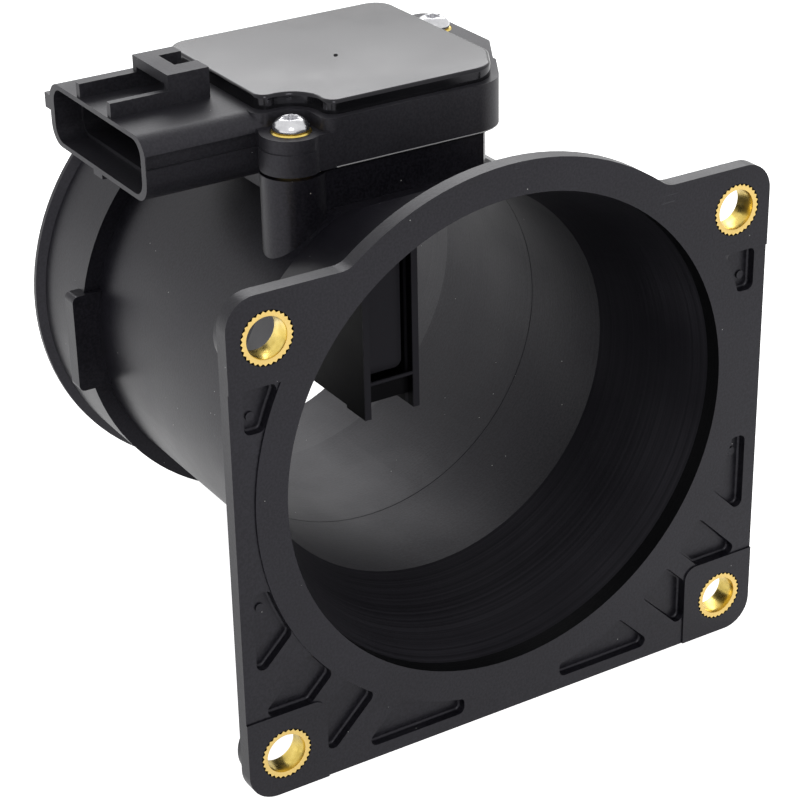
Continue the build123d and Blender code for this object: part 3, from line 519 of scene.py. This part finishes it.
# the fine step where the two halves of the core met
joint_start = core_joint_y - core_joint_width / 2
joint_end = core_joint_y + core_joint_width / 2
joint_rise = remap(tube_tree, (150, -850), along, joint_start, joint_end)
in_throat = maths(tube_tree, (150, -1000), "LESS_THAN", from_axis, core_joint_reach)
joint_height = maths(tube_tree, (300, -850), "MULTIPLY", joint_rise, in_throat)
joint_relief = bump(tube_tree, (450, -500), joint_height, core_joint_step)
tube_tree.links.new(tube_relief.outputs[0], joint_relief.inputs["Normal"])
tube_tree.links.new(joint_relief.outputs[0], tube_skin.inputs["Normal"])
tube_moulding.data.materials.append(tube_plastic)


# ---------------------------------------------------------------- flange bushes
# Four turned brass bushes, knurled with straight teeth and pressed into the flange's corners,
# so that the bolts clamp on metal. Each has a small chamfer at both ends of its bore.
bush_count = 4
bush_low, bush_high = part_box("flange_bush_1")
bush_length = bush_high[1] - bush_low[1]
bush_bore_radius = 3.65 * mm
bush_tip_radius = (bush_high[0] - bush_low[0]) / 2
bush_tooth_depth = 0.38 * mm
bush_root_radius = bush_tip_radius - bush_tooth_depth
bush_teeth = 30
bush_chamfer = 0.28 * mm
bush_sharp_angle = radians(28)
# the metal's finish: brass here, and tarnish and lathe marks as on the other metals
brass_gold = (0.84, 0.64, 0.18, 1)
brass_tarnish = (0.64, 0.47, 0.10, 1)
end_gold = (0.78, 0.57, 0.20, 1)
end_dulling = 0.2
end_facing = 0.8
tarnish_scale = 600.0
tarnish_range = (0.35, 0.75)
metal_cloud_range = (0.3, 0.7)
metal_brighter = 0.05
metal_duller = 0.1
lathe_mark_scale = 400.0
lathe_mark_depth = 0.01 * mm
lathe_mark_strength = 0.6


def select_by_place(piece, mode, chosen):
    """Selects a mesh's corners or edges by a test on the places of their ends, ready for an edit."""
    bpy.ops.object.mode_set(mode="EDIT")
    bpy.ops.mesh.select_mode(type=mode)
    bpy.ops.mesh.select_all(action="DESELECT")
    bpy.ops.object.mode_set(mode="OBJECT")
    if mode == "VERT":
        for corner in piece.data.vertices:
            corner.select = chosen(corner.co)
    else:
        for edge in piece.data.edges:
            edge.select = chosen(*(piece.data.vertices[number].co for number in edge.vertices))
    bpy.ops.object.mode_set(mode="EDIT")


def from_bush_axis(point):
    """How far a point lies from the Y axis."""
    return Vector((point.x, point.z)).length


def is_tooth_root(point):
    """Is this corner on the bush's outside, and between two teeth?"""
    half_teeth = round(atan2(point.z, point.x) * bush_teeth / pi)
    wall_middle = (bush_bore_radius + bush_tip_radius) / 2
    return from_bush_axis(point) > wall_middle and half_teeth % 2 == 1


def is_bore_rim(start, end):
    """Is this edge part of the circle at either end of the bore?"""
    off_bore = max(from_bush_axis(start), from_bush_axis(end)) - bush_bore_radius
    return abs(start.y - end.y) < same_place and off_bore < same_place


def knurled_bush():
    """One bush round the Y axis: a toothed ring, drawn out to its length, its bore chamfered."""
    bpy.ops.object.select_all(action="DESELECT")
    bpy.ops.mesh.primitive_circle_add(
        vertices=2 * bush_teeth, radius=bush_bore_radius, rotation=(pi / 2, 0, 0)
    )
    bush = bpy.context.object
    bpy.ops.object.transform_apply(location=True, rotation=True, scale=True)
    bpy.ops.object.mode_set(mode="EDIT")
    bpy.ops.mesh.select_mode(type="EDGE")
    bpy.ops.mesh.select_all(action="SELECT")
    bpy.ops.mesh.extrude_edges_move()
    outward = bush_tip_radius / bush_bore_radius
    bpy.ops.transform.resize(value=(outward, 1, outward), center_override=(0, 0, 0))
    select_by_place(bush, "VERT", is_tooth_root)
    inward = bush_root_radius / bush_tip_radius
    bpy.ops.transform.resize(value=(inward, 1, inward), center_override=(0, 0, 0))
    bpy.ops.mesh.select_all(action="SELECT")
    bpy.ops.mesh.extrude_region_move(TRANSFORM_OT_translate={"value": (0, bush_length, 0)})
    bpy.ops.mesh.select_all(action="SELECT")
    bpy.ops.mesh.normals_make_consistent(inside=False)
    select_by_place(bush, "EDGE", is_bore_rim)
    bpy.ops.mesh.bevel(offset=bush_chamfer, segments=2)
    bpy.ops.object.mode_set(mode="OBJECT")
    bpy.ops.object.shade_smooth_by_angle(angle=bush_sharp_angle)
    return bush


def bright_metal(name, colour, worn_colour, roughness, lathe_stretch):
    """Turned metal: its colour, a little tarnish, and fine marks along one direction."""
    material, tree, output = material_nodes(name)
    skin = add_node(tree, "ShaderNodeBsdfPrincipled", (600, 0))
    skin.inputs["Metallic"].default_value = 1.0
    place = add_node(tree, "ShaderNodeTexCoord", (-900, 0))
    spot = place.outputs["Object"]
    cloud = noise(tree, (-500, 200), spot, tarnish_scale, detail=4.0)
    tarnish = remap(tree, (-100, 200), cloud, *tarnish_range)
    mottled = blend_colours(tree, (200, 200), tarnish, colour, worn_colour)
    tree.links.new(mottled, skin.inputs["Base Color"])
    sheen = remap(
        tree, (200, 0), cloud, *metal_cloud_range,
        to_low=roughness - metal_brighter, to_high=roughness + metal_duller,
    )
    tree.links.new(sheen, skin.inputs["Roughness"])
    turning = noise(tree, (-300, -250), spot, lathe_mark_scale, stretch=lathe_stretch)
    relief = bump(tree, (300, -250), turning, lathe_mark_depth, lathe_mark_strength)
    tree.links.new(relief.outputs[0], skin.inputs["Normal"])
    tree.links.new(skin.outputs[0], output.inputs["Surface"])
    return material, tree, skin, place


# the bushes' ends are a deeper, duller gold than their polished bores
brass, brass_tree, brass_skin, brass_place = bright_metal(
    "bush_brass", brass_gold, brass_tarnish, roughness=0.24, lathe_stretch=(1, 12, 1)
)
brass_apart = add_node(brass_tree, "ShaderNodeSeparateXYZ", (-600, 500))
brass_tree.links.new(brass_place.outputs["Normal"], brass_apart.inputs[0])
lengthways = maths(brass_tree, (-400, 500), "ABSOLUTE", brass_apart.outputs["Y"])
on_end = maths(brass_tree, (-200, 500), "GREATER_THAN", lengthways, end_facing)
paint_over(brass_tree, (400, 400), brass_skin, on_end, end_gold)
brass_sheen = brass_skin.inputs["Roughness"].links[0].from_socket
end_duller = maths(brass_tree, (200, 500), "MULTIPLY", on_end, end_dulling)
both_sheens = maths(brass_tree, (400, 200), "ADD", brass_sheen, end_duller)
brass_tree.links.new(both_sheens, brass_skin.inputs["Roughness"])

pattern_bush = knurled_bush()
for bush_number in range(1, bush_count + 1):
    bush_node = f"flange_bush_{bush_number}"
    lowest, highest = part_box(bush_node)
    bush = bpy.data.objects.new(f"pressed_bush_{bush_number}", pattern_bush.data.copy())
    bpy.context.scene.collection.objects.link(bush)
    bush_middle = Vector(((lowest[0] + highest[0]) / 2, lowest[1], (lowest[2] + highest[2]) / 2))
    bush.data.transform(Matrix.Translation(bush_middle))
    bush.data.materials.append(brass)
    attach(bush, "root")
    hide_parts(bush_node)
bpy.data.objects.remove(pattern_bush)


# ---------------------------------------------------------------- sensor head
# The head is a second moulding, screwed down on the tube's seat: the box for the circuit board,
# the plug socket with its latch, and the neck that hangs into the bore and carries half of the probe.
head_edge_round = 0.2 * mm
head_black = (0.0042, 0.004, 0.0058, 1)
head_grey = (0.0188, 0.0182, 0.0222, 1)
# the probe, from its front and its top, with the panel between its two walls: painted shade down the
# probe, and a painted highlight on its front edges and its panel
probe_low, probe_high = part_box("probe_side_cover")
probe_shade_black = (0.0012, 0.0012, 0.0014, 1)
probe_top = probe_high[2] - 0.7 * mm
probe_shade_fade = 3.0 * mm
probe_shine = 0.1
probe_face = probe_low[1] + 0.3 * mm
probe_inner_half = probe_high[0] - 1.3 * mm
panel_highlight_grey = (0.026, 0.0252, 0.03, 1)
panel_start = probe_low[1] + 1.9 * mm
panel_end = probe_low[1] + 3.0 * mm
# a painted highlight along the foot of the box, just over the seal
foot_sink = 0.02 * mm
foot_highlight_height = 0.22 * mm
foot_highlight_start = -17.0 * mm
foot_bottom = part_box("head_seal")[1][2] - foot_sink
foot_highlight_grey = (0.42, 0.42, 0.43, 1)

head_moulding = softened(nodes["sensor_housing"], "head_moulding", head_edge_round)
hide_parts("sensor_housing")
head_plastic, head_tree, head_skin, head_place = moulded_plastic(
    "head_plastic", head_black, head_grey,
    roughness=0.48, grain_height=0.016 * mm, speck_size=0.03, shine=1.43,
)[:4]
# painted shade: the probe, down in the bore, fades to a blacker colour and a lower specular level than
# the box
head_apart = add_node(head_tree, "ShaderNodeSeparateXYZ", (-700, -500))
head_tree.links.new(head_place.outputs["Object"], head_apart.inputs[0])
head_x, head_y, head_z = head_apart.outputs
on_probe = remap(head_tree, (-500, -500), head_z, probe_top, probe_top - probe_shade_fade)
paint_over(head_tree, (150, 350), head_skin, on_probe, probe_shade_black)
head_shine = remap(head_tree, (300, -450), on_probe, 0.0, 1.0, plain_shine, probe_shine)
head_tree.links.new(head_shine, head_skin.inputs["Specular IOR Level"])
# painted highlight: the probe's front edges and the panel between them are painted a paler grey
past_face = maths(head_tree, (-500, -1150), "LESS_THAN", head_y, probe_face)
panel_near = maths(head_tree, (-500, -1300), "GREATER_THAN", head_y, panel_start)
panel_far = maths(head_tree, (-500, -1450), "LESS_THAN", head_y, panel_end)
panel_band = maths(head_tree, (-300, -1350), "MULTIPLY", panel_near, panel_far)
sideways = maths(head_tree, (-500, -1600), "ABSOLUTE", head_x)
between = maths(head_tree, (-300, -1600), "LESS_THAN", sideways, probe_inner_half)
on_panel = maths(head_tree, (-150, -1450), "MULTIPLY", panel_band, between)
edge_or_panel = maths(head_tree, (-50, -1200), "ADD", past_face, on_panel)
probe_highlight = maths(head_tree, (0, -1250), "MULTIPLY", edge_or_panel, on_probe)
paint_over(head_tree, (300, 350), head_skin, probe_highlight, panel_highlight_grey)
# painted highlight: the box's lower edge beyond the ear is painted as a pale band where it catches the
# light
foot_high = maths(head_tree, (-500, -700), "GREATER_THAN", head_z, foot_bottom)
foot_low = maths(head_tree, (-500, -850), "LESS_THAN", head_z, foot_bottom + foot_highlight_height)
foot_front = maths(head_tree, (-500, -1000), "GREATER_THAN", head_x, foot_highlight_start)
foot_band = maths(head_tree, (-300, -750), "MULTIPLY", foot_high, foot_low)
on_foot_highlight = maths(head_tree, (-150, -850), "MULTIPLY", foot_band, foot_front)
paint_over(head_tree, (450, 350), head_skin, on_foot_highlight, foot_highlight_grey)
head_moulding.data.materials.append(head_plastic)

# The probe's other half is a separate side wall, bonded on, with the bar across its inlet.
probe_moulding = softened(nodes["probe_side_cover"], "probe_moulding", head_edge_round)
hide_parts("probe_side_cover")
probe_moulding.data.materials.append(head_plastic)


# ---------------------------------------------------------------- lid and seal
# A glossy lid is bonded over the circuit board's well, and its polished top mirrors the room.
# A flat rubber seal lies between the head and the tube's seat.
lid_black = (0.0035, 0.0035, 0.0042, 1)
lid_haze = (0.006, 0.006, 0.007, 1)
lid_low, lid_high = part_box("cover_lid")
gate_radius = 0.42 * mm
gate_height = 0.3 * mm
gate_x = (lid_low[0] + lid_high[0]) / 2 - 0.9 * mm
gate_y = (lid_low[1] + lid_high[1]) / 2 - 1.45 * mm
rubber_black = (0.012, 0.012, 0.012, 1)
rubber_grey = (0.022, 0.022, 0.022, 1)

lid_gloss = moulded_plastic(
    "lid_gloss", lid_black, lid_haze, roughness=0.16, grain_height=0.003 * mm, speck_size=0.012
)[0]
seal_rubber = moulded_plastic(
    "seal_rubber", rubber_black, rubber_grey,
    roughness=0.7, grain_height=0.02 * mm, speck_size=0.01,
)[0]


def paint_node(name, material):
    """Gives a CAD node its material."""
    node = nodes[name]
    node.data.materials.clear()
    node.data.materials.append(material)


paint_node("cover_lid", lid_gloss)
paint_node("head_seal", seal_rubber)

# the little stub of the gate through which the lid was filled
bpy.ops.object.select_all(action="DESELECT")
bpy.ops.mesh.primitive_uv_sphere_add(segments=20, ring_count=12, radius=gate_radius)
gate_mark = bpy.context.object
gate_mark.name = "gate_mark"
bpy.ops.object.mode_set(mode="EDIT")
bpy.ops.mesh.select_all(action="SELECT")
bpy.ops.transform.resize(value=(1, 1, gate_height / gate_radius))
bpy.ops.transform.translate(value=(gate_x, gate_y, lid_high[2]))
bpy.ops.object.mode_set(mode="OBJECT")
bpy.ops.object.shade_smooth()
gate_mark.data.materials.append(lid_gloss)
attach(gate_mark, "root")


# ---------------------------------------------------------------- head screws
# Two zinc-plated pan-head screws with six-lobed drives hold the head down. Each clamps on
# a brass bush in the head's ear.
screw_edge_round = 0.07 * mm
zinc_bright = (0.68, 0.68, 0.70, 1)
zinc_dull = (0.52, 0.52, 0.54, 1)

zinc = bright_metal(
    "screw_zinc", zinc_bright, zinc_dull, roughness=0.2, lathe_stretch=(1, 1, 6)
)[0]
for screw_place in ("front", "rear"):
    screw_node = f"head_screw_{screw_place}"
    screw = softened(nodes[screw_node], f"pan_screw_{screw_place}", screw_edge_round)
    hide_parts(screw_node)
    screw.data.materials.append(zinc)
    paint_node(f"ear_bush_{screw_place}", brass)


# ---------------------------------------------------------------- terminals and electronics
# Six tinned blades pass from the plug socket into the head, where they turn up through the
# circuit board. The board carries its chip, regulator and three capacitors.
terminal_count = 6
capacitor_count = 3
tin_bright = (0.70, 0.69, 0.66, 1)
tin_dull = (0.55, 0.54, 0.51, 1)
resin_green = (0.012, 0.10, 0.035, 1)
resin_pale_green = (0.02, 0.14, 0.05, 1)
chip_black = (0.012, 0.012, 0.012, 1)
chip_grey = (0.02, 0.02, 0.02, 1)
ceramic_tan = (0.32, 0.21, 0.11, 1)
ceramic_pale_tan = (0.40, 0.28, 0.16, 1)

tin = bright_metal("terminal_tin", tin_bright, tin_dull, roughness=0.3, lathe_stretch=(8, 1, 1))[0]
board_resin = moulded_plastic(
    "board_resin", resin_green, resin_pale_green,
    roughness=0.35, grain_height=0.004 * mm, speck_size=0.01,
)[0]
chip_resin = moulded_plastic(
    "chip_resin", chip_black, chip_grey, roughness=0.5, grain_height=0.01 * mm, speck_size=0.01
)[0]
capacitor_ceramic = moulded_plastic(
    "capacitor_ceramic", ceramic_tan, ceramic_pale_tan,
    roughness=0.45, grain_height=0.006 * mm, speck_size=0.01,
)[0]
for terminal_number in range(1, terminal_count + 1):
    paint_node(f"terminal_{terminal_number}", tin)
for capacitor_number in range(1, capacitor_count + 1):
    paint_node(f"capacitor_{capacitor_number}", capacitor_ceramic)
paint_node("circuit_board", board_resin)
paint_node("signal_chip", chip_resin)
paint_node("regulator", chip_resin)


# ---------------------------------------------------------------- sensing elements
# The probe's passage holds a heated wire and a cold one on steel posts, set in a plastic carrier,
# and a bead on two leads behind the probe reads the air's temperature.
post_count = 4
steel_bright = (0.56, 0.56, 0.56, 1)
steel_dull = (0.44, 0.44, 0.44, 1)
glaze_grey = (0.70, 0.70, 0.66, 1)
glaze_white = (0.80, 0.80, 0.77, 1)
epoxy_black = (0.02, 0.02, 0.024, 1)
epoxy_grey = (0.03, 0.03, 0.034, 1)

post_steel = bright_metal(
    "post_steel", steel_bright, steel_dull, roughness=0.3, lathe_stretch=(1, 1, 8)
)[0]
element_ceramic = moulded_plastic(
    "element_ceramic", glaze_grey, glaze_white,
    roughness=0.25, grain_height=0.003 * mm, speck_size=0.01,
)[0]
bead_epoxy = moulded_plastic(
    "bead_epoxy", epoxy_black, epoxy_grey,
    roughness=0.2, grain_height=0.003 * mm, speck_size=0.01,
)[0]
for post_number in range(1, post_count + 1):
    paint_node(f"element_post_{post_number}", post_steel)
paint_node("element_carrier", head_plastic)
paint_node("hot_wire", element_ceramic)
paint_node("cold_wire", element_ceramic)
paint_node("air_temp_sensor", bead_epoxy)
